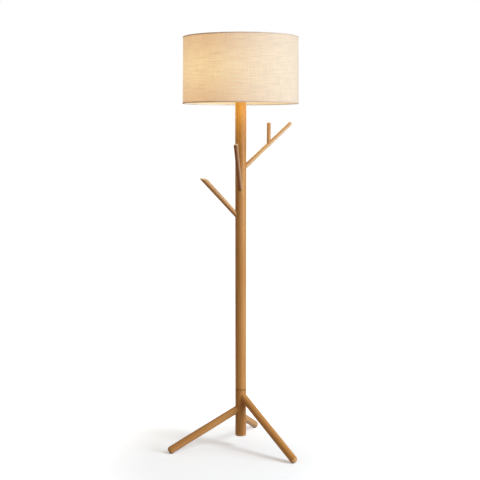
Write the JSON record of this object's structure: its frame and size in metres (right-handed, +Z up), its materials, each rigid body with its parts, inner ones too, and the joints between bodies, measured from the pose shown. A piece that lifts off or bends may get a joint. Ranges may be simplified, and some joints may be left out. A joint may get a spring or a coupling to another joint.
{
  "type": "tripod floor lamp",
  "caption": "Floor lamp: a round wooden pole with angled coat pegs on three splayed round legs, under a linen drum shade that turns on its lampholder.",
  "frame": {"origin": "on the floor under the middle of the lamp's bounding box; the pole's axis stands 31 mm to +X and 33 mm to -Y of it", "axes": "+Z up along the pole, -Y towards the viewer that the front branch points at, +X towards the right branch"},
  "size_m": [0.5056, 0.5106, 1.6],
  "materials": {
    "oiled_wood": "oiled, fine straight grain along each bar",
    "zinc_steel": "zinc plated",
    "brass": "turned",
    "dark_rubber": "matte",
    "black_plastic": "satin moulded",
    "white_ceramic": "glazed",
    "white_steel": "satin white paint",
    "linen": "plain weave with slubs, lit from inside",
    "shade_liner": "translucent styrene film",
    "hem_tape": "folded tape",
    "opal_glass": "opal",
    "aluminium": "rolled thread",
    "filament_wire": "fine wire"
  },
  "bodies": {
    "stand": {"hub": "oiled_wood", "pole": "oiled_wood", "leg_left": "oiled_wood", "leg_front": "oiled_wood", "leg_back": "oiled_wood", "branch_right": "oiled_wood", "branch_left": "oiled_wood", "branch_front": "oiled_wood", "twig": "oiled_wood", "twig_dowel": "oiled_wood", "leg_bolt_left": "zinc_steel", "leg_bolt_front": "zinc_steel", "leg_bolt_back": "zinc_steel", "branch_bolt_right": "zinc_steel", "branch_bolt_left": "zinc_steel", "branch_bolt_front": "zinc_steel", "joint_stud": "zinc_steel", "nipple": "zinc_steel", "top_plate": "zinc_steel", "lock_nut": "zinc_steel", "leg_insert_left": "brass", "leg_insert_front": "brass", "leg_insert_back": "brass", "hub_insert": "brass", "pole_insert": "brass", "top_insert": "brass", "screw_shell": "brass", "centre_contact": "brass", "terminal_screw_1": "brass", "terminal_screw_2": "brass", "foot_pad_left": "dark_rubber", "foot_pad_front": "dark_rubber", "foot_pad_back": "dark_rubber", "cord_gland": "black_plastic", "holder_cap": "black_plastic", "holder_body": "black_plastic", "terminal_block": "white_ceramic"},
    "shade": {"shade_cover": "linen", "shade_liner": "shade_liner", "top_wire": "white_steel", "bottom_wire": "white_steel", "top_hem": "hem_tape", "bottom_hem": "hem_tape", "shade_fitter": "white_steel"},
    "retaining_ring": {"retaining_ring": "black_plastic"},
    "bulb": {"bulb_glass": "opal_glass", "bulb_cap": "aluminium", "bulb_insulator": "black_plastic", "bulb_contact": "brass", "bulb_stem": "opal_glass", "filament": "filament_wire"},
    "switch_knob": {"switch_knob": "black_plastic"}
  },
  "joints": [
    {"name": "shade_turn", "type": "hinge", "parent": "stand", "child": "shade", "pos_m": [0.03033, -0.03277, 1.3943], "axis": [0, 0, 1], "continuous": true},
    {"name": "retaining_ring_turn", "type": "hinge", "parent": "stand", "child": "retaining_ring", "pos_m": [0.03033, -0.03277, 1.4], "axis": [0, 0, 1], "range_deg": [0, 90]},
    {"name": "bulb_turn", "type": "hinge", "parent": "stand", "child": "bulb", "pos_m": [0.03033, -0.03277, 1.41], "axis": [0, 0, 1], "range_deg": [0, 720]},
    {"name": "switch_turn", "type": "hinge", "parent": "stand", "child": "switch_knob", "pos_m": [0.04333, -0.01026, 1.379], "axis": [0.5, 0.866, 0], "continuous": true}
  ]
}
